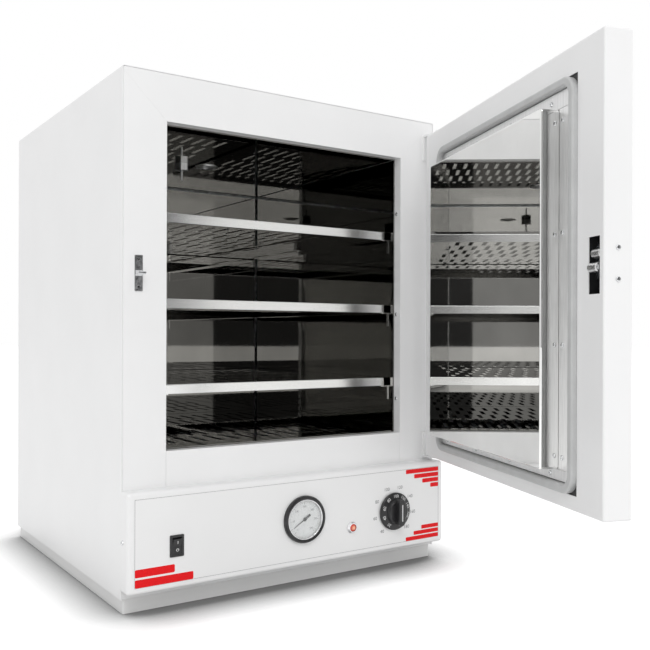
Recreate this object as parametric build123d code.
from build123d import *
import math
import os

# Hot air sterilizer: a bench-top oven with a hinged door, three pull-out shelves and a control box.
# Millimetres, +Z up, +Y to the back. The origin is on the floor at the centre of the cabinet's base.

# Cabinet
WIDTH = 600.0
DEPTH = 608.0
HEIGHT = 816.0
PLINTH_HEIGHT = 22.0
PLINTH_INSET = 4.0
PLINTH_FLANGE = 18.0
BRACE_HALF = 22.0
SHEET = 1.2
BEND = 3.0
SEAM = 0.3
LEFT = -WIDTH / 2
RIGHT = WIDTH / 2
FRONT = -DEPTH / 2
BACK = DEPTH / 2

# Front frame and the opening it leaves
OPENING_LEFT = -230.5
OPENING_RIGHT = 222.5
OPENING_BOTTOM = 238.0
OPENING_TOP = 741.5
THROAT = 18.0
FRAME_RETURN = 12.0
REAR_RIM = 12.0
WINDOW_MARGIN = 70.0
WINDOW_BOTTOM = 60.0
WINDOW_TOP = 160.0

# Chamber
CHAMBER_LEFT = -229.0
CHAMBER_RIGHT = 221.0
CHAMBER_BOTTOM = 240.0
CHAMBER_TOP = 740.0
CHAMBER_FRONT = FRONT + THROAT + 1.0
CHAMBER_BACK = CHAMBER_FRONT + 530.0
LINER = 1.0
LINER_HEM = 4.0
CORNER_GAP = 3.5
JACKET_GAP = 5.0
JACKET_FLANGE = 15.0
PLENUM = 33.0
DIVIDER_TOP = 164.2

# Shelves and their rails
SHELF_NAMES = ("bottom", "middle", "top")
SHELF_TOPS = (337.5, 473.0, 608.5)
SHELF_SIDE_GAP = 8.0
SHELF_FRONT = FRONT + 37.0
SHELF_BACK = CHAMBER_BACK - 14.0
SHELF_LIP = 15.0
SHELF_HEM = 8.0
SLIDE_GAP = 0.2
RAIL_DROP = 25.0
RAIL_LEDGE = 16.0
SLOT_LENGTH = 75.0
SLOT_WIDTH = 9.0
SLOT_PITCH_X = 28.0
SLOT_PITCH_Y = 90.0
SLOT_MARGIN = 24.0

# Heating element
ELEMENT_R = 4.0
ELEMENT_Z = 222.0
ELEMENT_X = -4.0
ELEMENT_END = 30.0
ELEMENT_BEND = 24.0
ELEMENT_HALF = 165.0

# Ceiling fittings
VENT_X = -33.0
VENT_Y = -23.0
VENT_BORE = 15.0
VENT_WALL = 1.5
VENT_RISE = 24.0
PROBE_X = -84.0
PROBE_Y = -23.0
PROBE_THREAD_R = 6.0

# Back
GLAND_X = -220.0
GLAND_Z = 80.0
GLAND_R = 8.0

# Control box
PANEL_LEFT = -301.5
PANEL_RIGHT = 301.5
PANEL_BOTTOM = 34.0
PANEL_TOP = 184.0
PANEL_DEPTH = 29.0
PANEL_RADIUS = 6.0
PANEL_SHEET = 1.5
PANEL_FACE = FRONT - PANEL_DEPTH
PANEL_SCREW_Y = FRONT - 10.0
PANEL_SCREW_Z = 110.0
OVERLAY = 0.4
OVERLAY_FACE = PANEL_FACE - OVERLAY
OVERLAY_X = 292.0
OVERLAY_BOTTOM = 43.0
OVERLAY_TOP = 176.0
SWITCH_X = -225.0
SWITCH_Z = 99.0
SWITCH_W = 22.5
SWITCH_H = 33.0
SWITCH_TILT = 6.0
ROCKER_W = 13.6
ROCKER_HALF = 11.6
ROCKER_Y = OVERLAY_FACE + 5.0
GAUGE_X = -1.0
GAUGE_Z = 111.5
GAUGE_R = 39.0
GAUGE_GLASS_R = 32.5
GAUGE_ANGLE = 212.0
LAMP_X = 95.5
LAMP_Z = 85.5
LAMP_R = 10.0
KNOB_X = 187.0
KNOB_Z = 103.0
KNOB_R = 33.0
SHAFT_R = 3.0

# Door, drawn closed and then swung open
DOOR_GAP = 8.0
DOOR_THICK = 38.0
DOOR_LEFT = -297.0
DOOR_RIGHT = 297.0
DOOR_BOTTOM = 194.0
DOOR_TOP = 786.0
DOOR_INNER = FRONT - DOOR_GAP
DOOR_OUTER = DOOR_INNER - DOOR_THICK
HINGE_X = 288.0
HINGE_Y = DOOR_INNER - DOOR_THICK / 2
OPEN_ANGLE = 71.0
PIN_R = 4.0
RUNNING = 0.08
HANDLE_X = DOOR_LEFT + 65.0
HANDLE_HALF = 60.0
HANDLE_REACH = 34.0
HANDLE_R = 6.0

# Seal and plug on the door
GASKET_LEFT = -236.0
GASKET_RIGHT = 229.0
GASKET_BOTTOM = 214.0
GASKET_TOP = 748.0
GASKET_WIDTH = 12.0
GASKET_CORNER = 26.0
GASKET_CLEAR = 0.4
BACKING_FACE = DOOR_INNER - 2.0
STRIP_FACE = BACKING_FACE + 2.2
PLUG_LEFT = -191.0
PLUG_RIGHT = 206.0
PLUG_BOTTOM = 242.0
PLUG_TOP = 712.0
PLUG_FACE = FRONT + 19.0

# Latch
LATCH_X = -275.0
LATCH_Z = 508.0
SLOT_HALF_W = 12.5
SLOT_BELOW = 41.0
SLOT_ABOVE = 29.0
ROLLER_R = 6.0
ROLLER_HALF = 9.5
ROLLER_PIN_R = 2.0
TONGUE_HEAD = 4.6
TONGUE_NECK = 3.0
ROLLER_GAP = 5.4

# Fasteners
SCREW_R = 3.4
SCREW_HEAD = 1.8
SHANK_R = 1.5
THROAT_SCREWS = (300.0, 455.0, 640.0)
STRIKE_SCREW = 20.5
HINGE_SCREW_X = 286.5
LATCH_SCREWS = (LATCH_Z - 24, LATCH_Z + 14)


def block(x0, x1, y0, y1, z0, z1):
    """A box given by its six bounds."""
    return Pos((x0 + x1) / 2, (y0 + y1) / 2, (z0 + z1) / 2) * Box(x1 - x0, y1 - y0, z1 - z0)


def rod(radius, start, end):
    """A round bar between two points."""
    axis = Vector(*end) - Vector(*start)
    return extrude(Plane(origin=start, z_dir=axis) * Circle(radius), axis.length)


def turned(profile, x, z, y=0.0):
    """A solid turned about an axis along Y. The profile's points are (radius, y)."""
    outline = make_face(Polyline(*[(r, 0, v) for r, v in profile], close=True))
    spun = revolve(outline, Axis.Z, 360)
    return Pos(x, y, z) * Rot(-90, 0, 0) * spun


def front_plate(x0, x1, z0, z1, y0, y1, corner):
    """A flat plate facing the front, with rounded corners."""
    outline = RectangleRounded(x1 - x0, z1 - z0, corner)
    face = Pos((x0 + x1) / 2, y1, (z0 + z1) / 2) * Rot(90, 0, 0) * outline
    return extrude(face, y1 - y0)


def edges_at(shape, axis, value, tolerance=0.01):
    """The shape's edges that lie in one plane square to an axis."""
    return shape.edges().filter_by_position(axis, value - tolerance, value + tolerance)


def pan(x0, x1, y0, y1, z0, z1, sheet, radius):
    """A folded pan: closed towards the front at y0, open at y1, with rounded bends."""
    outer = block(x0, x1, y0, y1, z0, z1)
    outer = fillet(outer.edges().filter_by(Axis.Y), radius)
    outer = fillet(edges_at(outer, Axis.Y, y0), radius - 0.01)
    inner = block(x0 + sheet, x1 - sheet, y0 + sheet, y1 + 1, z0 + sheet, z1 - sheet)
    inner = fillet(inner.edges().filter_by(Axis.Y), radius - sheet)
    inner = fillet(edges_at(inner, Axis.Y, y0 + sheet), radius - sheet - 0.01)
    return outer - inner


def screw(x, y, z, direction, length=5.0):
    """A pan-head screw whose head stands on the point and faces along the direction."""
    out = Vector(*direction)
    seat = Vector(x, y, z)
    head = extrude(Plane(origin=seat, z_dir=out) * Circle(SCREW_R), SCREW_HEAD, taper=12)
    shank = extrude(Plane(origin=seat, z_dir=out * -1) * Circle(SHANK_R), length)
    return head + shank


def screw_hole(x, y, z, direction, length=8.0):
    """The clearance hole under a screw's head."""
    axis = Vector(*direction)
    start = Vector(x, y, z) + axis * 1.0
    return extrude(Plane(origin=start, z_dir=axis * -1) * Circle(SHANK_R + 0.1), length)


def swung(shape):
    """A part of the door, moved from closed to the open angle."""
    return Pos(HINGE_X, HINGE_Y, 0) * Rot(0, 0, OPEN_ANGLE) * Pos(-HINGE_X, -HINGE_Y, 0) * shape


def slot_pattern(x0, x1, y0, y1, z, depth):
    """Staggered long slots, front to back, as cutters for a perforated sheet."""
    columns = int((x1 - x0 - 2 * SLOT_MARGIN) // SLOT_PITCH_X)
    rows = int((y1 - y0 - 2 * SLOT_MARGIN) // SLOT_PITCH_Y)
    middle_x = (x0 + x1) / 2
    middle_y = (y0 + y1) / 2
    cutters = []
    for row in range(rows):
        count = columns - row % 2
        y = middle_y + (row - (rows - 1) / 2) * SLOT_PITCH_Y
        for column in range(count):
            x = middle_x + (column - (count - 1) / 2) * SLOT_PITCH_X
            cutters.append(Pos(x, y, z) * Box(SLOT_WIDTH, SLOT_LENGTH, depth))
    return cutters


# Cabinet sheet metal


def outer_shell():
    """The wrap: left side, top and right side in one bent sheet."""
    outer = block(LEFT, RIGHT, FRONT, BACK, PLINTH_HEIGHT, HEIGHT)
    outer = fillet(edges_at(outer, Axis.Z, HEIGHT).filter_by(Axis.Y), BEND)
    inner = block(LEFT + SHEET, RIGHT - SHEET, FRONT - 1, BACK + 1, PLINTH_HEIGHT - 1, HEIGHT - SHEET)
    inner = fillet(edges_at(inner, Axis.Z, HEIGHT - SHEET).filter_by(Axis.Y), BEND - SHEET)
    shell = outer - inner
    shell -= rod(VENT_BORE + VENT_WALL + SEAM, (VENT_X, VENT_Y, HEIGHT - 9), (VENT_X, VENT_Y, HEIGHT + 9))
    return shell


def plinth():
    """The recessed base frame, with a flange at its top, one that stands on the bench and a cross brace."""
    x = RIGHT - PLINTH_INSET
    y = BACK - PLINTH_INSET
    body = block(-x, x, -y, y, 0, PLINTH_HEIGHT)
    body = fillet(body.edges().filter_by(Axis.Z), BEND)
    wall = 1.5
    web = block(-x + wall, x - wall, -y + wall, y - wall, wall, PLINTH_HEIGHT - wall)
    inside = PLINTH_FLANGE + wall
    through = block(-x + inside, x - inside, -y + inside, y - inside, -1, PLINTH_HEIGHT + 1)
    brace = block(-x + wall, x - wall, -BRACE_HALF, BRACE_HALF, 0, PLINTH_HEIGHT - wall - 0.5)
    brace -= block(-x, x, -BRACE_HALF + wall, BRACE_HALF - wall, wall, PLINTH_HEIGHT)
    return body - web - through + brace


def base_pan():
    """The cabinet's floor: a tray with turned-up edges and cooling slots."""
    x = RIGHT - SHEET - SEAM
    y0 = FRONT + FRAME_RETURN + SEAM
    y1 = BACK - REAR_RIM - SEAM
    tray = block(-x, x, y0, y1, PLINTH_HEIGHT, PLINTH_HEIGHT + 15)
    hollow = block(-x + SHEET, x - SHEET, y0 + SHEET, y1 - SHEET, PLINTH_HEIGHT + SHEET, PLINTH_HEIGHT + 16)
    tray -= hollow
    for side in (-1, 1):
        for i in range(6):
            tray -= Pos(side * 170, -80 + i * 32, PLINTH_HEIGHT) * Box(90, 8, 6)
    return tray


def compartment_divider():
    """The plate that carries the insulation above the control compartment."""
    x = RIGHT - SHEET - SEAM
    y0 = FRONT + FRAME_RETURN + SEAM
    y1 = BACK - REAR_RIM - SEAM
    plate = block(-x, x, y0, y1, DIVIDER_TOP - SHEET, DIVIDER_TOP)
    front_lip = block(-x, x, y0, y0 + SHEET, DIVIDER_TOP - 14, DIVIDER_TOP)
    back_lip = block(-x, x, y1 - SHEET, y1, DIVIDER_TOP - 14, DIVIDER_TOP)
    return plate + front_lip + back_lip


def rear_panel():
    """The removable back, with a turned-in rim, vent slots and a hole for the supply cable's gland."""
    x = RIGHT - SHEET - SEAM
    z0 = PLINTH_HEIGHT + SEAM
    z1 = HEIGHT - SHEET - SEAM
    cover = block(-x, x, BACK - REAR_RIM, BACK, z0, z1)
    cover = fillet(cover.edges().filter_by(Axis.Y), BEND - SEAM)
    cover -= block(-x + SHEET, x - SHEET, BACK - REAR_RIM - 1, BACK - SHEET, z0 + SHEET, z1 - SHEET)
    for i in range(9):
        cover -= Pos(-120 + i * 18, BACK, 105) * Box(7, 6, 60)
    cover -= rod(GLAND_R, (GLAND_X, BACK - 5, GLAND_Z), (GLAND_X, BACK + 5, GLAND_Z))
    for x_screw, z_screw in rear_screw_places():
        cover -= screw_hole(x_screw, BACK, z_screw, (0, 1, 0))
    return cover


def rear_screw_places():
    """Where the back is screwed on."""
    rows = (60.0, 290.0, 540.0, 780.0)
    return [(side * 286.0, z) for side in (-1, 1) for z in rows]


def cable_gland():
    """The gland in the back, through which a supply cable enters."""
    body = turned([(5, 14), (9.5, 14), (9.5, 4), (13, 4), (13, 0), (5, 0)], GLAND_X, GLAND_Z, BACK)
    neck = turned([(5, 0), (GLAND_R, 0), (GLAND_R, -10), (5, -10)], GLAND_X, GLAND_Z, BACK)
    nut = turned([(GLAND_R, -SHEET), (12, -SHEET), (12, -6), (GLAND_R, -6)], GLAND_X, GLAND_Z, BACK)
    return body + neck + nut


# Front frame


def frame_ring():
    """The whole front frame as one folded ring, before it is cut into its members."""
    x = RIGHT - SHEET - SEAM
    z0 = PLINTH_HEIGHT + SEAM
    z1 = HEIGHT - SHEET - SEAM
    body = block(-x, x, FRONT, FRONT + FRAME_RETURN, z0, z1)
    body = fillet(body.edges().filter_by(Axis.Y), BEND - SEAM)
    body = fillet(edges_at(body, Axis.Y, FRONT), 1.5)
    body -= block(-x + SHEET, x - SHEET, FRONT + SHEET, FRONT + FRAME_RETURN + 1, z0 + SHEET, z1 - SHEET)
    throat = block(
        OPENING_LEFT - SHEET, OPENING_RIGHT + SHEET, FRONT, FRONT + THROAT,
        OPENING_BOTTOM - SHEET, OPENING_TOP + SHEET,
    )
    hole = block(OPENING_LEFT, OPENING_RIGHT, FRONT - 1, FRONT + THROAT + 1, OPENING_BOTTOM, OPENING_TOP)
    return body + throat - hole


def mitre_wedge(side, upper):
    """Everything on the top rail's side of the two mitre cuts, or on the stile's side of one of them."""
    left = OPENING_LEFT
    right = OPENING_RIGHT
    top = OPENING_TOP
    reach = 90.0
    if upper:
        points = [(left, top), (right, top), (right + reach, top + reach), (left - reach, top + reach)]
    elif side < 0:
        points = [(left, top), (left - reach, top + reach), (left - reach, 0), (left, 0)]
    else:
        points = [(right, top), (right + reach, top + reach), (right + reach, 0), (right, 0)]
    outline = make_face(Polyline(*[(x, FRONT - 5, z) for x, z in points], close=True))
    return extrude(outline, 40, dir=(0, 1, 0))


def front_top_rail():
    """The frame's top member, mitred at both ends."""
    return Pos(0, 0, SEAM / 2) * (frame_ring() & mitre_wedge(0, True)) & block(
        LEFT, RIGHT, FRONT, FRONT + 30, OPENING_TOP - 5, HEIGHT - SHEET - SEAM
    )


def front_stile(side):
    """A side member of the frame, from the floor of the cabinet to the mitre."""
    stile = frame_ring() & mitre_wedge(side, False)
    if side < 0:
        for z in THROAT_SCREWS:
            stile -= screw_hole(OPENING_LEFT, FRONT + 11, z, (1, 0, 0))
        stile -= screw_hole(LATCH_X, FRONT, LATCH_Z + STRIKE_SCREW, (0, -1, 0))
        stile -= screw_hole(LATCH_X, FRONT, LATCH_Z - STRIKE_SCREW, (0, -1, 0))
    else:
        for z in THROAT_SCREWS:
            stile -= screw_hole(OPENING_RIGHT, FRONT + 11, z, (-1, 0, 0))
        for z in hinge_screw_heights():
            stile -= screw_hole(HINGE_SCREW_X, FRONT, z, (0, -1, 0))
    return stile


def front_bottom_rail():
    """The frame's bottom member, open behind the control box, with the box's two fixing tabs."""
    low = block(OPENING_LEFT + SEAM, OPENING_RIGHT - SEAM, FRONT - 1, FRONT + 30, 0, OPENING_BOTTOM + 1)
    rail = frame_ring() & low
    x0 = OPENING_LEFT + WINDOW_MARGIN
    x1 = OPENING_RIGHT - 12
    rail -= block(x0, x1, FRONT - 1, FRONT + SHEET + 1, WINDOW_BOTTOM, WINDOW_TOP)
    return rail


def fixing_tab(side):
    """A tab on the frame that takes the control box's side screw."""
    inside = PANEL_RIGHT - PANEL_SHEET - 0.1
    foot = block(inside - 22, inside, FRONT - 1.5, FRONT, 95, 125)
    ear = block(inside - 1.5, inside, FRONT - 20, FRONT, 95, 125)
    tab = foot + ear
    tab -= screw_hole(PANEL_RIGHT, PANEL_SCREW_Y, PANEL_SCREW_Z, (1, 0, 0))
    return tab if side > 0 else mirror(tab, Plane.YZ)


# Chamber


def wall(side):
    """A polished side wall of the chamber."""
    x = CHAMBER_RIGHT if side > 0 else CHAMBER_LEFT
    low = CHAMBER_BOTTOM - PLENUM + 3
    high = CHAMBER_TOP - 0.5
    outside = x + side * LINER
    hem_edge = x + side * LINER_HEM
    sheet = block(min(x, outside), max(x, outside), CHAMBER_FRONT, CHAMBER_BACK - CORNER_GAP, low, high)
    hem = block(min(x, hem_edge), max(x, hem_edge), CHAMBER_FRONT, CHAMBER_FRONT + LINER, low, high)
    return sheet + hem


def liner_ceiling():
    """The polished ceiling, with the vent's and the probe's holes."""
    x0 = CHAMBER_LEFT + CORNER_GAP
    x1 = CHAMBER_RIGHT - CORNER_GAP
    sheet = block(x0, x1, CHAMBER_FRONT, CHAMBER_BACK - CORNER_GAP, CHAMBER_TOP, CHAMBER_TOP + LINER)
    sheet += block(x0, x1, CHAMBER_FRONT, CHAMBER_FRONT + LINER, CHAMBER_TOP, CHAMBER_TOP + LINER_HEM)
    sheet -= rod(VENT_BORE + VENT_WALL, (VENT_X, VENT_Y, CHAMBER_TOP - 5), (VENT_X, VENT_Y, CHAMBER_TOP + 5))
    sheet -= rod(PROBE_THREAD_R, (PROBE_X, PROBE_Y, CHAMBER_TOP - 5), (PROBE_X, PROBE_Y, CHAMBER_TOP + 5))
    return sheet


def liner_back_wall():
    """The polished back wall."""
    x0 = CHAMBER_LEFT + CORNER_GAP
    x1 = CHAMBER_RIGHT - CORNER_GAP
    low = CHAMBER_BOTTOM - PLENUM + 3
    sheet = block(x0, x1, CHAMBER_BACK, CHAMBER_BACK + LINER, low, CHAMBER_TOP - CORNER_GAP)
    return sheet - element_holes(1)


def chamber_floor_plate():
    """The slotted floor over the heating element, standing on its turned-down sides."""
    x0 = CHAMBER_LEFT + 2
    x1 = CHAMBER_RIGHT - 2
    y0 = CHAMBER_FRONT + 2
    y1 = CHAMBER_BACK - 3
    low = CHAMBER_BOTTOM - PLENUM
    plate = block(x0, x1, y0, y1, low, CHAMBER_BOTTOM)
    plate -= block(x0 + LINER, x1 - LINER, y0 - 1, y1 + 1, low - 1, CHAMBER_BOTTOM - LINER)
    plate += block(x0, x1, y0, y0 + LINER, CHAMBER_BOTTOM - 12, CHAMBER_BOTTOM)
    return plate - slot_pattern(x0, x1, y0, y1, CHAMBER_BOTTOM, 4)


def chamber_jacket():
    """The welded box round the liner, with a rim behind the front frame."""
    x0 = CHAMBER_LEFT - JACKET_GAP - LINER
    x1 = CHAMBER_RIGHT + JACKET_GAP + LINER
    z0 = CHAMBER_BOTTOM - PLENUM
    z1 = CHAMBER_TOP + JACKET_GAP
    y1 = CHAMBER_BACK + JACKET_GAP
    body = block(x0 - SHEET, x1 + SHEET, CHAMBER_FRONT, y1 + SHEET, z0 - SHEET, z1 + SHEET)
    rim = JACKET_FLANGE
    body += block(x0 - rim, x1 + rim, CHAMBER_FRONT, CHAMBER_FRONT + SHEET, z0 - rim, z1 + rim)
    body -= block(x0, x1, CHAMBER_FRONT - 1, y1, z0, z1)
    body -= rod(VENT_BORE + VENT_WALL + SEAM, (VENT_X, VENT_Y, z1 - 5), (VENT_X, VENT_Y, z1 + 5))
    body -= rod(PROBE_THREAD_R + SEAM, (PROBE_X, PROBE_Y, z1 - 5), (PROBE_X, PROBE_Y, z1 + 5))
    return body - element_holes(1)


def insulation_blanket():
    """The mineral wool between the chamber and the cabinet."""
    clear = 1.0
    x = RIGHT - SHEET - clear
    y0 = CHAMBER_FRONT + SHEET + clear
    wool = block(-x, x, y0, BACK - REAR_RIM - clear, DIVIDER_TOP + clear, HEIGHT - SHEET - clear)
    wrap = SHEET + clear
    x0 = CHAMBER_LEFT - JACKET_GAP - LINER - wrap
    x1 = CHAMBER_RIGHT + JACKET_GAP + LINER + wrap
    z0 = CHAMBER_BOTTOM - PLENUM - wrap
    z1 = CHAMBER_TOP + JACKET_GAP + wrap
    wool -= block(x0, x1, y0 - 1, CHAMBER_BACK + JACKET_GAP + wrap, z0, z1)
    wool -= rod(VENT_BORE + VENT_WALL + clear, (VENT_X, VENT_Y, z1 - 9), (VENT_X, VENT_Y, HEIGHT))
    wool -= rod(PROBE_THREAD_R + clear, (PROBE_X, PROBE_Y, z1 - 9), (PROBE_X, PROBE_Y, z1 + 12))
    return wool - element_holes(clear)


def element_holes(clear):
    """Cutters for the two ends of the heating element, where they leave the chamber at the back."""
    y0 = CHAMBER_BACK - 5
    y1 = CHAMBER_BACK + 34
    return [
        rod(ELEMENT_R + clear, (ELEMENT_X + end, y0, ELEMENT_Z), (ELEMENT_X + end, y1, ELEMENT_Z))
        for end in (-ELEMENT_END, ELEMENT_END)
    ]


def heating_element():
    """The tubular element in the plenum under the floor plate: two hairpins and a front run."""
    back = CHAMBER_BACK + 30
    near = CHAMBER_FRONT + 60
    far = CHAMBER_BACK - 60
    middle = ELEMENT_X
    path = FilletPolyline(
        (middle - ELEMENT_END, back),
        (middle - ELEMENT_END, near + 90),
        (middle - ELEMENT_END - 65, near + 90),
        (middle - ELEMENT_END - 65, far),
        (middle - ELEMENT_HALF, far),
        (middle - ELEMENT_HALF, near),
        (middle + ELEMENT_HALF, near),
        (middle + ELEMENT_HALF, far),
        (middle + ELEMENT_END + 65, far),
        (middle + ELEMENT_END + 65, near + 90),
        (middle + ELEMENT_END, near + 90),
        (middle + ELEMENT_END, back),
        radius=ELEMENT_BEND,
    )
    section = Plane(origin=path @ 0, z_dir=path % 0) * Circle(ELEMENT_R)
    return Pos(0, 0, ELEMENT_Z) * sweep(section, path)


def element_supports():
    """Two notched bars that carry the element off the plenum's floor."""
    low = CHAMBER_BOTTOM - PLENUM
    runs = [ELEMENT_END, ELEMENT_END + 65, ELEMENT_HALF]
    bars = []
    for y in (-60.0, 90.0):
        bar = block(ELEMENT_X - 190, ELEMENT_X + 190, y - 1, y + 1, low, ELEMENT_Z + 1)
        half = ELEMENT_R + 0.3
        for run in runs:
            for x in (ELEMENT_X - run, ELEMENT_X + run):
                bar -= block(x - half, x + half, y - 2, y + 2, ELEMENT_Z - ELEMENT_R, ELEMENT_Z + 2)
        bars.append(bar)
    return bars


def vent_tube():
    """The vent: a flange in the chamber's ceiling, a tube through the insulation and a slotted top."""
    inner = VENT_BORE
    outer = VENT_BORE + VENT_WALL
    top = HEIGHT + VENT_RISE
    tube = rod(outer, (VENT_X, VENT_Y, CHAMBER_TOP - 1.5), (VENT_X, VENT_Y, top))
    tube += rod(outer + 5, (VENT_X, VENT_Y, CHAMBER_TOP - 1.5), (VENT_X, VENT_Y, CHAMBER_TOP))
    tube += rod(outer + 12, (VENT_X, VENT_Y, HEIGHT), (VENT_X, VENT_Y, HEIGHT + 2))
    tube -= rod(inner, (VENT_X, VENT_Y, CHAMBER_TOP - 9), (VENT_X, VENT_Y, top - 2))
    tube -= rod(2.6, (VENT_X, VENT_Y, top - 9), (VENT_X, VENT_Y, top + 9))
    return tube - vent_sectors(top - 3, top + 1, 0)


def vent_sectors(z0, z1, turn):
    """Two quarter-ring windows, as cutters."""
    cutters = []
    for start in (turn, turn + 180):
        ring = rod(VENT_BORE - 2, (VENT_X, VENT_Y, z0), (VENT_X, VENT_Y, z1))
        ring -= rod(5.5, (VENT_X, VENT_Y, z0 - 1), (VENT_X, VENT_Y, z1 + 1))
        reach = 40.0
        a = math.radians(start - 40)
        b = math.radians(start + 40)
        corners = [(0, 0)] + [(reach * math.cos(t), reach * math.sin(t)) for t in (a, b)]
        wedge = extrude(make_face(Polyline(*corners, close=True)), z1 - z0)
        cutters.append(ring & Pos(VENT_X, VENT_Y, z0) * wedge)
    return cutters


def vent_damper():
    """The turning disc that opens and closes the vent, with its grip and pivot."""
    top = HEIGHT + VENT_RISE
    disc = rod(VENT_BORE + 4, (VENT_X, VENT_Y, top + 0.3), (VENT_X, VENT_Y, top + 3.3))
    for cutter in vent_sectors(top - 1, top + 5, 0):
        disc -= cutter
    grip = Pos(VENT_X, VENT_Y, top + 8) * Box(3, 26, 11)
    grip = fillet(edges_at(grip, Axis.Z, top + 13.5), 1.2)
    pivot = rod(2.5, (VENT_X, VENT_Y, top - 6), (VENT_X, VENT_Y, top + 3))
    clip = rod(4.0, (VENT_X, VENT_Y, top - 6), (VENT_X, VENT_Y, top - 4))
    return disc + grip + pivot + clip


def temperature_probe():
    """The sensor in the ceiling: a hexagon gland with a thin sheath hanging from it."""
    hexagon = extrude(Pos(PROBE_X, PROBE_Y, CHAMBER_TOP - 13) * RegularPolygon(13, 6), 13)
    thread = rod(PROBE_THREAD_R, (PROBE_X, PROBE_Y, CHAMBER_TOP), (PROBE_X, PROBE_Y, CHAMBER_TOP + 16))
    sheath = rod(2.0, (PROBE_X, PROBE_Y, CHAMBER_TOP - 32), (PROBE_X, PROBE_Y, CHAMBER_TOP - 13))
    return hexagon + thread + sheath


# Shelves


def shelf(top):
    """A perforated shelf with turned-down sides and a hemmed front lip."""
    x0 = CHAMBER_LEFT + SHELF_SIDE_GAP
    x1 = CHAMBER_RIGHT - SHELF_SIDE_GAP
    low = top - SHELF_LIP
    body = block(x0, x1, SHELF_FRONT, SHELF_BACK, low, top)
    body = fillet(edges_at(body, Axis.Z, top).filter_by(Axis.X), 1.5)
    body -= block(x0 + SHEET, x1 - SHEET, SHELF_FRONT + SHEET, SHELF_BACK - SHEET, low - 1, top - SHEET)
    body += block(x0, x1, SHELF_FRONT, SHELF_FRONT + SHELF_HEM, low, low + SHEET)
    return body - slot_pattern(x0, x1, SHELF_FRONT, SHELF_BACK, top, 4)


def shelf_rails(top):
    """The pair of angle rails under one shelf."""
    ledge_top = top - SHELF_LIP - SLIDE_GAP
    y0 = SHELF_FRONT - 3
    y1 = SHELF_BACK + 3
    ledge = block(CHAMBER_RIGHT - RAIL_LEDGE, CHAMBER_RIGHT, y0, y1, ledge_top - SHEET, ledge_top)
    leg = block(CHAMBER_RIGHT - SHEET, CHAMBER_RIGHT, y0, y1, ledge_top - RAIL_DROP, ledge_top)
    right = ledge + leg
    left = Pos(CHAMBER_LEFT + CHAMBER_RIGHT, 0, 0) * mirror(right, Plane.YZ)
    return [left, right]


# Control box


def control_panel():
    """The radiused sheet box that holds the controls."""
    box = pan(PANEL_LEFT, PANEL_RIGHT, PANEL_FACE, FRONT, PANEL_BOTTOM, PANEL_TOP, PANEL_SHEET, PANEL_RADIUS)
    for side in (-1, 1):
        box -= screw_hole(side * PANEL_RIGHT, PANEL_SCREW_Y, PANEL_SCREW_Z, (side, 0, 0))
    return box - panel_holes()


def panel_holes():
    """The holes for the four controls, as cutters through the box's face and the overlay."""
    y0 = PANEL_FACE - 3
    y1 = PANEL_FACE + 4
    half_w = SWITCH_W / 2 - 1.5
    half_h = SWITCH_H / 2 - 2
    switch = block(SWITCH_X - half_w, SWITCH_X + half_w, y0, y1, SWITCH_Z - half_h, SWITCH_Z + half_h)
    gauge = rod(GAUGE_R - 8.7, (GAUGE_X, y0, GAUGE_Z), (GAUGE_X, y1, GAUGE_Z))
    lamp = rod(7.0, (LAMP_X, y0, LAMP_Z), (LAMP_X, y1, LAMP_Z))
    knob = rod(5.2, (KNOB_X, y0, KNOB_Z), (KNOB_X, y1, KNOB_Z))
    return [switch, gauge, lamp, knob]


def panel_overlay():
    """The thin printed sheet on the box's face."""
    sheet = front_plate(-OVERLAY_X, OVERLAY_X, OVERLAY_BOTTOM, OVERLAY_TOP, OVERLAY_FACE, PANEL_FACE, 2.0)
    return sheet - panel_holes()


def case_screws():
    """The screws of the back and of the control box."""
    screws = [screw(x, BACK, z, (0, 1, 0)) for x, z in rear_screw_places()]
    screws += [screw(side * PANEL_RIGHT, PANEL_SCREW_Y, PANEL_SCREW_Z, (side, 0, 0)) for side in (-1, 1)]
    return screws


def switch_housing():
    """The switch's bezel and body, hollow for the rocker."""
    half_w = SWITCH_W / 2
    half_h = SWITCH_H / 2
    bezel = front_plate(
        SWITCH_X - half_w, SWITCH_X + half_w, SWITCH_Z - half_h, SWITCH_Z + half_h,
        OVERLAY_FACE - 2, OVERLAY_FACE, 1.5,
    )
    bezel = chamfer(edges_at(bezel, Axis.Y, OVERLAY_FACE - 2), 0.8)
    body_w = half_w - 1.8
    body_h = half_h - 2.3
    body = block(
        SWITCH_X - body_w, SWITCH_X + body_w, OVERLAY_FACE, FRONT - 6, SWITCH_Z - body_h, SWITCH_Z + body_h
    )
    pocket_w = ROCKER_W / 2 + 0.4
    pocket_h = ROCKER_HALF + 1.4
    pocket = block(
        SWITCH_X - pocket_w, SWITCH_X + pocket_w, OVERLAY_FACE - 3, ROCKER_Y + 5.5,
        SWITCH_Z - pocket_h, SWITCH_Z + pocket_h,
    )
    reach = ROCKER_W / 2 + 2.4
    ends = [(SWITCH_X + side * reach, ROCKER_Y, SWITCH_Z) for side in (-1, 1)]
    trunnion = rod(1.5 + RUNNING, *ends)
    return bezel + body - pocket - trunnion


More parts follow.
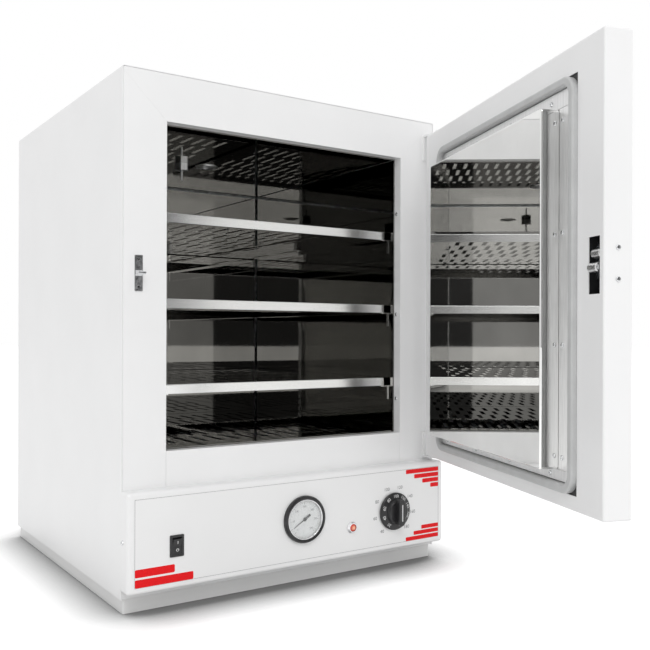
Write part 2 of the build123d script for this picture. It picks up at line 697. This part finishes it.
def switch_rocker():
    """The rocker: a shallow V on a pivot, pressed in at its lower half."""
    points = [(-8.6, 11.6), (-6.2, 0), (-8.6, -11.6), (-2, -11.2), (3.2, -6), (3.2, 6), (-2, 11.2)]
    outline = make_face(Polyline(*[(0, y, z) for y, z in points], close=True))
    body = Pos(-ROCKER_W / 2, 0, 0) * extrude(outline, ROCKER_W, dir=(1, 0, 0))
    pivot = rod(1.5, (-ROCKER_W / 2 - 2, 0, 0), (ROCKER_W / 2 + 2, 0, 0))
    return Pos(SWITCH_X, ROCKER_Y, SWITCH_Z) * Rot(SWITCH_TILT, 0, 0) * (body + pivot)


def gauge_case():
    """The thermometer's cup behind the box's face, with the flange the dial lies on."""
    cup = GAUGE_R - 9
    flange = GAUGE_R - 1.5
    spindle = 1.2
    outline = [
        (cup, 25), (cup, 0), (flange, 0), (flange, -1.2), (spindle, -1.2), (spindle, 0),
        (cup - 1.2, 0), (cup - 1.2, 23.8), (spindle, 23.8), (spindle, 25),
    ]
    return turned(outline, GAUGE_X, GAUGE_Z, OVERLAY_FACE)


def gauge_bezel():
    """The thermometer's rounded black rim."""
    outline = [
        (GAUGE_R, 0), (GAUGE_R, -4.5), (GAUGE_R - 1.2, -6.6), (GAUGE_R - 3.2, -7.4), (GAUGE_R - 5.4, -6.6),
        (GAUGE_GLASS_R, -5.6), (GAUGE_GLASS_R, -4.9), (GAUGE_R - 1.4, -4.9), (GAUGE_R - 1.4, 0),
    ]
    return turned(outline, GAUGE_X, GAUGE_Z, OVERLAY_FACE)


def gauge_dial():
    """The dial plate."""
    edge = GAUGE_R - 1.6
    return turned([(1.0, -1.2), (edge, -1.2), (edge, -1.8), (1.0, -1.8)], GAUGE_X, GAUGE_Z, OVERLAY_FACE)


def gauge_pointer():
    """The pointer: a tapered needle, a broad tail and a hub on its spindle."""
    points = [(-14, -1.6), (-9, -0.9), (0, -1.3), (23, -0.35), (23, 0.35), (0, 1.3), (-9, 0.9), (-14, 1.6)]
    needle = extrude(make_face(Polyline(*points, close=True)), 0.6)
    hub = Cylinder(3.2, 1.2) + Pos(0, 0, -2.5) * Cylinder(0.8, 5)
    turned_to_reading = Rot(90, 0, 0) * Rot(0, 0, GAUGE_ANGLE)
    return Pos(GAUGE_X, OVERLAY_FACE - 3.2, GAUGE_Z) * turned_to_reading * (needle + hub)


def gauge_glass():
    """The flat glass under the rim."""
    edge = GAUGE_R - 1.6
    return turned([(0, -4.0), (edge, -4.0), (edge, -4.8), (0, -4.8)], GAUGE_X, GAUGE_Z, OVERLAY_FACE)


def lamp_bezel():
    """The pilot lamp's chromed rim and barrel."""
    outline = [
        (6.6, -4.6), (7.6, -4.6), (LAMP_R, -1.6), (LAMP_R, 0), (6.8, 0), (6.8, 22), (5.2, 22), (5.2, -1.2),
        (6.6, -1.2),
    ]
    return turned(outline, LAMP_X, LAMP_Z, OVERLAY_FACE)


def lamp_lens():
    """The pilot lamp's domed red lens."""
    outline = [(0, -6.6), (2.6, -6.2), (4.8, -5.2), (6.3, -3.6), (6.5, -1.3), (0, -1.3)]
    return turned(outline, LAMP_X, LAMP_Z, OVERLAY_FACE)


def thermostat_body():
    """The thermostat behind the box's face, with its threaded bush."""
    case = block(KNOB_X - 22, KNOB_X + 22, PANEL_FACE + PANEL_SHEET, FRONT + 22, KNOB_Z - 20, KNOB_Z + 20)
    case = fillet(case.edges().filter_by(Axis.Y), 3)
    bush = rod(5, (KNOB_X, OVERLAY_FACE - 0.6, KNOB_Z), (KNOB_X, PANEL_FACE + PANEL_SHEET + 1, KNOB_Z))
    bore = rod(SHAFT_R + RUNNING, (KNOB_X, OVERLAY_FACE - 3, KNOB_Z), (KNOB_X, FRONT - 8, KNOB_Z))
    return case + bush - bore


def thermostat_knob():
    """The knob: a bevelled skirt, a drum and a wing grip, on the thermostat's shaft."""
    base = OVERLAY_FACE - 1.2
    outline = [
        (0, 0), (KNOB_R - 1, 0), (KNOB_R, -1), (KNOB_R, -3), (KNOB_R - 1.4, -4.4), (22, -7), (20.5, -12),
        (19, -13), (0, -13),
    ]
    skirt = turned(outline, KNOB_X, KNOB_Z, base)
    wing = block(KNOB_X - 6.5, KNOB_X + 6.5, base - 24, base - 6, KNOB_Z - 23, KNOB_Z + 23)
    wing = fillet(wing.edges().filter_by(Axis.Y), 6.2)
    wing = chamfer(edges_at(wing, Axis.Y, base - 24), 1.2)
    shaft = rod(SHAFT_R, (KNOB_X, base - 5, KNOB_Z), (KNOB_X, FRONT - 9, KNOB_Z))
    return skirt + wing + shaft


# Latch on the cabinet, hinges


def strike_plate():
    """The strike: a screwed plate with a tongue that enters between the door's rollers."""
    plate = front_plate(LATCH_X - 6.2, LATCH_X + 6.2, LATCH_Z - 27, LATCH_Z + 27, FRONT - 1.6, FRONT, 1.0)
    half_neck = TONGUE_NECK / 2
    half_head = TONGUE_HEAD / 2
    y = FRONT - 1.6
    outline = Polyline(
        (0, y + 0.8, LATCH_Z - 5), (0, y - 2.4, LATCH_Z - half_neck), (0, y - 9, LATCH_Z - half_neck),
        (0, y - 11.5, LATCH_Z - half_head), (0, y - 13.5, LATCH_Z - half_head), (0, y - 16, LATCH_Z - 0.8),
        (0, y - 16, LATCH_Z + 0.8), (0, y - 13.5, LATCH_Z + half_head), (0, y - 11.5, LATCH_Z + half_head),
        (0, y - 9, LATCH_Z + half_neck), (0, y - 2.4, LATCH_Z + half_neck), (0, y + 0.8, LATCH_Z + 5),
        close=True,
    )
    tongue = Pos(LATCH_X - 5.5, 0, 0) * extrude(make_face(outline), 11, dir=(1, 0, 0))
    strike = plate + tongue
    for z in (LATCH_Z - STRIKE_SCREW, LATCH_Z + STRIKE_SCREW):
        strike -= screw_hole(LATCH_X, FRONT - 1.6, z, (0, -1, 0))
    return strike


def hinge_bracket(upper):
    """An angle bracket on the right stile with the pivot pin that carries the door."""
    plate_low = DOOR_TOP + 1.0 if upper else DOOR_BOTTOM - 4.5
    plate = block(HINGE_X - 13, HINGE_X + 10.5, HINGE_Y, FRONT, plate_low, plate_low + 3)
    plate += rod(10.5, (HINGE_X, HINGE_Y, plate_low), (HINGE_X, HINGE_Y, plate_low + 3))
    if upper:
        leg = block(HINGE_X - 13, HINGE_X + 10.5, FRONT - 3, FRONT, plate_low - 44, plate_low + 3)
        pin = rod(PIN_R, (HINGE_X, HINGE_Y, DOOR_TOP - 17), (HINGE_X, HINGE_Y, plate_low + 9))
    else:
        leg = block(HINGE_X - 13, HINGE_X + 10.5, FRONT - 3, FRONT, plate_low, plate_low + 47)
        pin = rod(PIN_R, (HINGE_X, HINGE_Y, plate_low - 1), (HINGE_X, HINGE_Y, DOOR_BOTTOM + 17))
    bracket = plate + leg + pin
    for z in hinge_screw_heights():
        bracket -= screw_hole(HINGE_SCREW_X, FRONT - 3, z, (0, -1, 0))
    return bracket


def hinge_screw_heights():
    """The heights of the hinge brackets' screws."""
    return [DOOR_TOP - 34, DOOR_TOP - 14, DOOR_BOTTOM + 10, DOOR_BOTTOM + 30]


def front_frame_screws():
    """The screws of the strike, of the throat and of the hinge brackets."""
    heights = (LATCH_Z - STRIKE_SCREW, LATCH_Z + STRIKE_SCREW)
    screws = [screw(LATCH_X, FRONT - 1.6, z, (0, -1, 0)) for z in heights]
    screws += [screw(OPENING_LEFT, FRONT + 11, z, (1, 0, 0), 3) for z in THROAT_SCREWS]
    screws += [screw(OPENING_RIGHT, FRONT + 11, z, (-1, 0, 0), 3) for z in THROAT_SCREWS]
    screws += [screw(HINGE_SCREW_X, FRONT - 3, z, (0, -1, 0)) for z in hinge_screw_heights()]
    return screws


# Door


def door_inner_shell():
    """The door's inner face and its four edges in one folded sheet, with the hinge bushes welded in."""
    body = block(DOOR_LEFT, DOOR_RIGHT, DOOR_OUTER, DOOR_INNER, DOOR_BOTTOM, DOOR_TOP)
    body = fillet(body.edges().filter_by(Axis.Y), BEND)
    body = fillet(edges_at(body, Axis.Y, DOOR_INNER), BEND - 0.01)
    inside = block(
        DOOR_LEFT + SHEET, DOOR_RIGHT - SHEET, DOOR_OUTER - 1, DOOR_INNER - SHEET,
        DOOR_BOTTOM + SHEET, DOOR_TOP - SHEET,
    )
    inside = fillet(inside.edges().filter_by(Axis.Y), BEND - SHEET)
    inside = fillet(edges_at(inside, Axis.Y, DOOR_INNER - SHEET), BEND - SHEET - 0.01)
    for z0, z1 in ((DOOR_BOTTOM, DOOR_BOTTOM + 20), (DOOR_TOP - 20, DOOR_TOP)):
        inside -= rod(7, (HINGE_X, HINGE_Y, z0), (HINGE_X, HINGE_Y, z1))
    body -= inside
    for z0, z1 in ((DOOR_BOTTOM - 1, DOOR_BOTTOM + 21), (DOOR_TOP - 21, DOOR_TOP + 1)):
        body -= rod(PIN_R + RUNNING, (HINGE_X, HINGE_Y, z0), (HINGE_X, HINGE_Y, z1))
    body -= block(
        GASKET_LEFT - SEAM, GASKET_RIGHT + SEAM, DOOR_INNER - 3, DOOR_INNER + 1,
        GASKET_BOTTOM - SEAM, GASKET_TOP + SEAM,
    )
    body -= block(
        LATCH_X - SLOT_HALF_W, LATCH_X + SLOT_HALF_W, DOOR_INNER - 3, DOOR_INNER + 1,
        LATCH_Z - SLOT_BELOW, LATCH_Z + SLOT_ABOVE,
    )
    for z in LATCH_SCREWS:
        body -= screw_hole(DOOR_LEFT, HINGE_Y, z, (-1, 0, 0), 5)
    return body


def door_outer_panel():
    """The door's outer face, set between the folded edges."""
    inset = SHEET + SEAM
    plate = front_plate(
        DOOR_LEFT + inset, DOOR_RIGHT - inset, DOOR_BOTTOM + inset, DOOR_TOP - inset,
        DOOR_OUTER, DOOR_OUTER + SHEET, 2.0,
    )
    for z in (LATCH_Z - HANDLE_HALF, LATCH_Z + HANDLE_HALF):
        plate -= rod(2.6, (HANDLE_X, DOOR_OUTER - 3, z), (HANDLE_X, DOOR_OUTER + 3, z))
    return plate


def door_handle():
    """The pull on the outer face: a bowed bar with two feet and their studs."""
    y = DOOR_OUTER
    path = FilletPolyline(
        (HANDLE_X, y, LATCH_Z - HANDLE_HALF),
        (HANDLE_X, y - HANDLE_REACH + HANDLE_R, LATCH_Z - HANDLE_HALF),
        (HANDLE_X, y - HANDLE_REACH + HANDLE_R, LATCH_Z + HANDLE_HALF),
        (HANDLE_X, y, LATCH_Z + HANDLE_HALF),
        radius=14,
    )
    bar = sweep(Plane(origin=path @ 0, z_dir=path % 0) * Circle(HANDLE_R), path)
    for z in (LATCH_Z - HANDLE_HALF, LATCH_Z + HANDLE_HALF):
        bar += rod(9, (HANDLE_X, y - 3, z), (HANDLE_X, y, z))
        bar += rod(2.5, (HANDLE_X, y - 1, z), (HANDLE_X, y + 6, z))
    return bar


def door_backing_plate():
    """The dark plate behind the seal and the plug, drilled for the strips' screws."""
    lap = 8
    plate = block(
        GASKET_LEFT - lap, GASKET_RIGHT + lap, BACKING_FACE - 1, BACKING_FACE,
        GASKET_BOTTOM - lap, GASKET_TOP + lap,
    )
    for x, z in strip_screw_places():
        plate -= screw_hole(x, STRIP_FACE, z, (0, 1, 0))
    return plate


def door_insulation():
    """The board that fills the door behind the backing plate."""
    clear = 1.0
    inset = SHEET + clear
    board = block(
        DOOR_LEFT + inset, DOOR_RIGHT - inset, DOOR_OUTER + inset, BACKING_FACE - 1 - clear,
        DOOR_BOTTOM + inset, DOOR_TOP - inset,
    )
    board -= block(DOOR_LEFT, LATCH_X + 20, DOOR_OUTER, DOOR_INNER, LATCH_Z - 46, LATCH_Z + 46)
    for z0, z1 in ((DOOR_BOTTOM, DOOR_BOTTOM + 22), (DOOR_TOP - 22, DOOR_TOP)):
        board -= block(HINGE_X - 10, DOOR_RIGHT, DOOR_OUTER, DOOR_INNER, z0, z1)
    for z in (LATCH_Z - HANDLE_HALF, LATCH_Z + HANDLE_HALF):
        board -= rod(4, (HANDLE_X, DOOR_OUTER, z), (HANDLE_X, DOOR_OUTER + 9, z))
    return board


def door_gasket():
    """The silicone seal: a rounded ring whose lip stands just clear of the front frame when closed."""
    top = FRONT - GASKET_CLEAR
    w = GASKET_WIDTH
    ring = front_plate(
        GASKET_LEFT, GASKET_RIGHT, GASKET_BOTTOM, GASKET_TOP, BACKING_FACE, top, GASKET_CORNER
    )
    hole = front_plate(
        GASKET_LEFT + w, GASKET_RIGHT - w, GASKET_BOTTOM + w, GASKET_TOP - w,
        BACKING_FACE - 1, top + 1, GASKET_CORNER - w,
    )
    ring -= hole
    return fillet(edges_at(ring, Axis.Y, top), 3.2)


def door_plug():
    """The polished pan that enters the throat, with the flange that is screwed to the door."""
    body = block(PLUG_LEFT, PLUG_RIGHT, BACKING_FACE, PLUG_FACE, PLUG_BOTTOM, PLUG_TOP)
    body = fillet(body.edges().filter_by(Axis.Y), 4)
    body = fillet(edges_at(body, Axis.Y, PLUG_FACE), 2.5)
    margin = GASKET_WIDTH + 1.2
    flange = front_plate(
        GASKET_LEFT + margin, GASKET_RIGHT - margin, GASKET_BOTTOM + margin, GASKET_TOP - margin,
        BACKING_FACE, BACKING_FACE + 1, GASKET_CORNER - margin,
    )
    hollow = block(
        PLUG_LEFT + 1, PLUG_RIGHT - 1, BACKING_FACE - 1, PLUG_FACE - 1, PLUG_BOTTOM + 1, PLUG_TOP - 1
    )
    hollow = fillet(hollow.edges().filter_by(Axis.Y), 3)
    plug = body + flange - hollow
    for x, z in strip_screw_places():
        plug -= screw_hole(x, STRIP_FACE, z, (0, 1, 0), 12)
    return plug


def retaining_strips():
    """The four flat strips that clamp the plug's flange, and the seal's inner edge, to the door."""
    edge = GASKET_WIDTH + 1.4
    x0 = GASKET_LEFT + edge
    x1 = GASKET_RIGHT - edge
    z0 = GASKET_BOTTOM + edge
    z1 = GASKET_TOP - edge
    y0 = BACKING_FACE + 1
    y1 = STRIP_FACE
    gap = 0.6
    outline = front_plate(x0, x1, z0, z1, y0, y1, GASKET_CORNER - edge)
    for x, z in strip_screw_places():
        outline -= screw_hole(x, STRIP_FACE, z, (0, 1, 0))
    bottom = block(x0, x1, y0, y1, z0, PLUG_BOTTOM - gap)
    top = block(x0, x1, y0, y1, PLUG_TOP + gap, z1)
    left = block(x0, PLUG_LEFT - gap, y0, y1, PLUG_BOTTOM, PLUG_TOP)
    right = block(PLUG_RIGHT + gap, x1, y0, y1, PLUG_BOTTOM, PLUG_TOP)
    return [outline & strip for strip in (bottom, top, left, right)]


def strip_screw_places():
    """Four screws along each strip."""
    low = (GASKET_BOTTOM + GASKET_WIDTH + 1.4 + PLUG_BOTTOM) / 2
    high = (GASKET_TOP - GASKET_WIDTH - 1.4 + PLUG_TOP) / 2
    free = PLUG_LEFT - 10
    hinge = (GASKET_RIGHT - GASKET_WIDTH - 1.4 + PLUG_RIGHT) / 2
    across = [PLUG_LEFT + 20 + i * (PLUG_RIGHT - PLUG_LEFT - 40) / 3 for i in range(4)]
    up = [PLUG_BOTTOM + 16 + i * (PLUG_TOP - PLUG_BOTTOM - 32) / 3 for i in range(4)]
    places = [(x, z) for z in (low, high) for x in across]
    places += [(x, z) for x in (free, hinge) for z in up]
    return places


def door_screws():
    """The screws of the strips and of the latch."""
    screws = [screw(x, STRIP_FACE, z, (0, 1, 0), 3.1) for x, z in strip_screw_places()]
    screws += [screw(DOOR_LEFT, HINGE_Y, z, (-1, 0, 0), 4) for z in LATCH_SCREWS]
    return screws


def latch_case():
    """The dark box behind the slot in the door."""
    half = SLOT_HALF_W + 3
    z0 = LATCH_Z - SLOT_BELOW - 4
    z1 = LATCH_Z + SLOT_ABOVE + 4
    back = DOOR_OUTER + 5
    box = block(LATCH_X - half, LATCH_X + half, back, DOOR_INNER - SHEET - 0.1, z0, z1)
    box -= block(LATCH_X - half + 1, LATCH_X + half - 1, back + 1, DOOR_INNER, z0 + 1, z1 - 1)
    return box


def roller_centres():
    """The Y and Z of the two rollers' axes: the lower one stands farther out."""
    rise = ROLLER_R + ROLLER_GAP / 2
    return {"upper": (DOOR_INNER - 6.5, LATCH_Z + rise), "lower": (DOOR_INNER - 1.5, LATCH_Z - rise)}


def latch_carrier():
    """The steel fork with the two roller pins."""
    inner = ROLLER_HALF + 0.5
    outer = inner + 1.2
    back = DOOR_OUTER + 6
    web = block(LATCH_X - outer, LATCH_X + outer, back, back + 1.5, LATCH_Z - 22, LATCH_Z + 22)
    fork = web
    for side in (-1, 1):
        x0 = LATCH_X + min(side * inner, side * outer)
        x1 = LATCH_X + max(side * inner, side * outer)
        fork += block(x0, x1, back, DOOR_INNER - 9, LATCH_Z - 22, LATCH_Z + 22)
        for y, z in roller_centres().values():
            fork += block(x0, x1, DOOR_INNER - 12, y, z - 3.6, z + 3.6)
            fork += rod(3.6, (x0, y, z), (x1, y, z))
    for y, z in roller_centres().values():
        fork += rod(ROLLER_PIN_R, (LATCH_X - outer, y, z), (LATCH_X + outer, y, z))
    return fork


def latch_roller(which):
    """A roller of the latch."""
    y, z = roller_centres()[which]
    roller = rod(ROLLER_R, (LATCH_X - ROLLER_HALF, y, z), (LATCH_X + ROLLER_HALF, y, z))
    roller = chamfer(roller.edges().filter_by(GeomType.CIRCLE), 0.8)
    return roller - rod(ROLLER_PIN_R + RUNNING, (LATCH_X - 20, y, z), (LATCH_X + 20, y, z))


def cabinet_nodes():
    """Every fixed piece of the cabinet, by name."""
    nodes = {
        "outer_shell": outer_shell(),
        "plinth": plinth(),
        "base_pan": base_pan(),
        "compartment_divider": compartment_divider(),
        "rear_panel": rear_panel(),
        "cable_gland": cable_gland(),
        "front_top_rail": front_top_rail(),
        "front_left_stile": front_stile(-1) + fixing_tab(-1),
        "front_right_stile": front_stile(1) + fixing_tab(1),
        "front_bottom_rail": front_bottom_rail(),
        "front_frame_screws": front_frame_screws(),
        "case_screws": case_screws(),
        "liner_left_wall": wall(-1),
        "liner_right_wall": wall(1),
        "liner_ceiling": liner_ceiling(),
        "liner_back_wall": liner_back_wall(),
        "chamber_floor_plate": chamber_floor_plate(),
        "chamber_jacket": chamber_jacket(),
        "insulation_blanket": insulation_blanket(),
        "heating_element": heating_element(),
        "element_supports": element_supports(),
        "vent_tube": vent_tube(),
        "temperature_probe": temperature_probe(),
        "strike_plate": strike_plate(),
        "hinge_bracket_top": hinge_bracket(True),
        "hinge_bracket_bottom": hinge_bracket(False),
    }
    for name, top in zip(SHELF_NAMES, SHELF_TOPS):
        nodes[f"shelf_rails_{name}"] = shelf_rails(top)
    return nodes


def control_nodes():
    """Every piece of the control box, by name."""
    return {
        "control_panel": control_panel(),
        "panel_overlay": panel_overlay(),
        "switch_housing": switch_housing(),
        "switch_rocker": switch_rocker(),
        "gauge_case": gauge_case(),
        "gauge_bezel": gauge_bezel(),
        "gauge_dial": gauge_dial(),
        "gauge_pointer": gauge_pointer(),
        "gauge_glass": gauge_glass(),
        "lamp_bezel": lamp_bezel(),
        "lamp_lens": lamp_lens(),
        "thermostat_body": thermostat_body(),
        "thermostat_knob": thermostat_knob(),
    }


def door_nodes():
    """Every piece of the door, by name, in the closed position."""
    return {
        "door_inner_shell": door_inner_shell(),
        "door_outer_panel": door_outer_panel(),
        "door_handle": door_handle(),
        "door_backing_plate": door_backing_plate(),
        "door_insulation": door_insulation(),
        "door_gasket": door_gasket(),
        "door_plug": door_plug(),
        "retaining_strips": retaining_strips(),
        "door_screws": door_screws(),
        "latch_case": latch_case(),
        "latch_carrier": latch_carrier(),
        "latch_upper_roller": latch_roller("upper"),
        "latch_lower_roller": latch_roller("lower"),
    }


def moving_nodes():
    """The shelves and the vent's damper, by name."""
    nodes = {f"shelf_{name}": shelf(top) for name, top in zip(SHELF_NAMES, SHELF_TOPS)}
    nodes["vent_damper"] = vent_damper()
    return nodes


def grouped(shape):
    """One shape from a shape or from a list of separate solids."""
    return Compound(children=[part for part in shape]) if isinstance(shape, list) else shape


def main():
    os.makedirs("parts", exist_ok=True)
    nodes = {**cabinet_nodes(), **control_nodes(), **moving_nodes()}
    nodes = {name: grouped(shape) for name, shape in nodes.items()}
    nodes.update({name: swung(grouped(shape)) for name, shape in door_nodes().items()})
    for name, shape in nodes.items():
        export_step(shape, f"parts/{name}.step")


main()
